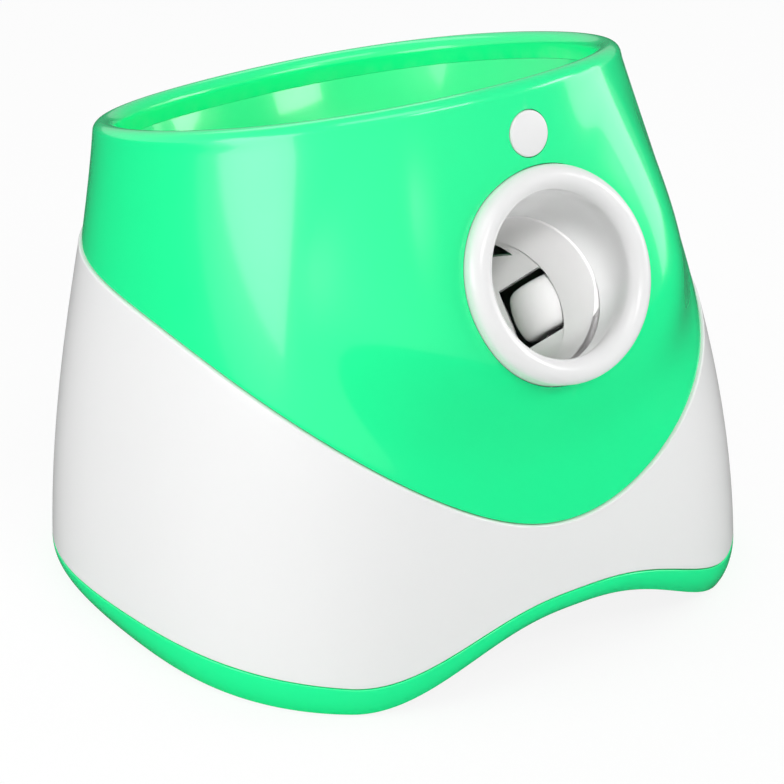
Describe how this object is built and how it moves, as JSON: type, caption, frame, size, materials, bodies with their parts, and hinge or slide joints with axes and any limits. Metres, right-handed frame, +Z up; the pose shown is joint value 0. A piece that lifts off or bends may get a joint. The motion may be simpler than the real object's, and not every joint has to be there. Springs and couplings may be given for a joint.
{
  "type": "automatic dog ball launcher",
  "caption": "Waisted two-tone housing with a tilted ball hopper on top and a round launch nozzle in front, with spinning wheels and a geared feed arm inside.",
  "frame": {"origin": "on the ground under the middle of the housing", "axes": "+Z up, the nozzle faces -Y, +X is the launcher's left hand side seen from behind it"},
  "size_m": [0.228, 0.2259, 0.2012],
  "materials": {
    "green_shell": "glossy moulded ABS, spring green",
    "white_shell": "glossy moulded ABS, white",
    "grey_moulding": "satin moulded ABS, light grey",
    "dark_moulding": "satin moulded ABS, dark grey",
    "tyre_rubber": "soft white rubber",
    "foot_rubber": "black rubber",
    "arm_moulding": "orange acetal",
    "gear_moulding": "natural acetal",
    "motor_steel": "plated steel can",
    "shaft_steel": "ground steel",
    "screw_steel": "zinc-plated steel",
    "board_laminate": "green circuit board",
    "board_components": "board components",
    "cell_sleeve": "shrink sleeve",
    "black_moulding": "black nylon"
  },
  "bodies": {
    "housing": {"upper_shell": "green_shell", "lower_shell": "white_shell", "base_trim": "green_shell", "base_plate": "dark_moulding", "foot_pads": "foot_rubber", "hopper_funnel": "green_shell", "nozzle": "white_shell", "ball_duct": "grey_moulding", "duct_cradle": "dark_moulding", "wheel_plate_left": "dark_moulding", "wheel_plate_right": "dark_moulding", "motor_left": "motor_steel", "motor_right": "motor_steel", "feed_bracket": "dark_moulding", "feed_motor": "motor_steel", "limit_switch": "black_moulding", "ball_sensors": "board_components", "button_board": "board_laminate", "main_board": "board_laminate", "board_parts": "board_components", "battery_tray": "dark_moulding", "battery_cells": "cell_sleeve", "battery_door": "dark_moulding", "power_inlet": "black_moulding", "switch_body": "black_moulding", "base_screws": "screw_steel", "nozzle_screws": "screw_steel", "bracket_screws": "screw_steel", "door_screws": "screw_steel", "motor_screws": "screw_steel", "cradle_screws": "screw_steel", "board_screws": "screw_steel", "battery_contacts": "screw_steel"},
    "wheel_left": {"hub_left": "grey_moulding", "tyre_left": "tyre_rubber", "shaft_left": "shaft_steel"},
    "wheel_right": {"hub_right": "grey_moulding", "tyre_right": "tyre_rubber", "shaft_right": "shaft_steel"},
    "feed_arm": {"feed_arm": "arm_moulding", "feed_shaft": "shaft_steel"},
    "feed_pinion": {"feed_pinion": "gear_moulding", "pinion_shaft": "shaft_steel"},
    "mode_button": {"mode_button": "white_shell"},
    "switch_rocker": {"switch_rocker": "black_moulding"}
  },
  "joints": [
    {"name": "wheel_left_spin", "type": "hinge", "parent": "housing", "child": "wheel_left", "pos_m": [-0.049, -0.05158, 0.10652], "axis": [0, 0.6157, 0.788], "continuous": true},
    {"name": "wheel_right_spin", "type": "hinge", "parent": "housing", "child": "wheel_right", "pos_m": [0.049, -0.05158, 0.10652], "axis": [0, 0.6157, 0.788], "continuous": true},
    {"name": "feed_arm_swing", "type": "hinge", "parent": "housing", "child": "feed_arm", "pos_m": [0, 0.04916, 0.092], "axis": [-1, 0, 0], "range_deg": [0, 44]},
    {"name": "feed_pinion_turn", "type": "hinge", "parent": "housing", "child": "feed_pinion", "pos_m": [0, 0.06491, 0.06472], "axis": [1, 0, 0], "range_deg": [0, 110]},
    {"name": "mode_button_press", "type": "slide", "parent": "housing", "child": "mode_button", "axis": [0, 0.9659, -0.259], "range_m": [0, 0.001], "stiffness_N_per_m": 400, "springref_m": -0.0005},
    {"name": "switch_rock", "type": "hinge", "parent": "housing", "child": "switch_rocker", "pos_m": [0, 0.10812, 0.052], "axis": [0, 0, -1], "range_deg": [0, 14]}
  ],
  "couplings": [
    {"joint": "feed_pinion_turn", "follows": "feed_arm_swing", "ratio": 2.5}
  ]
}
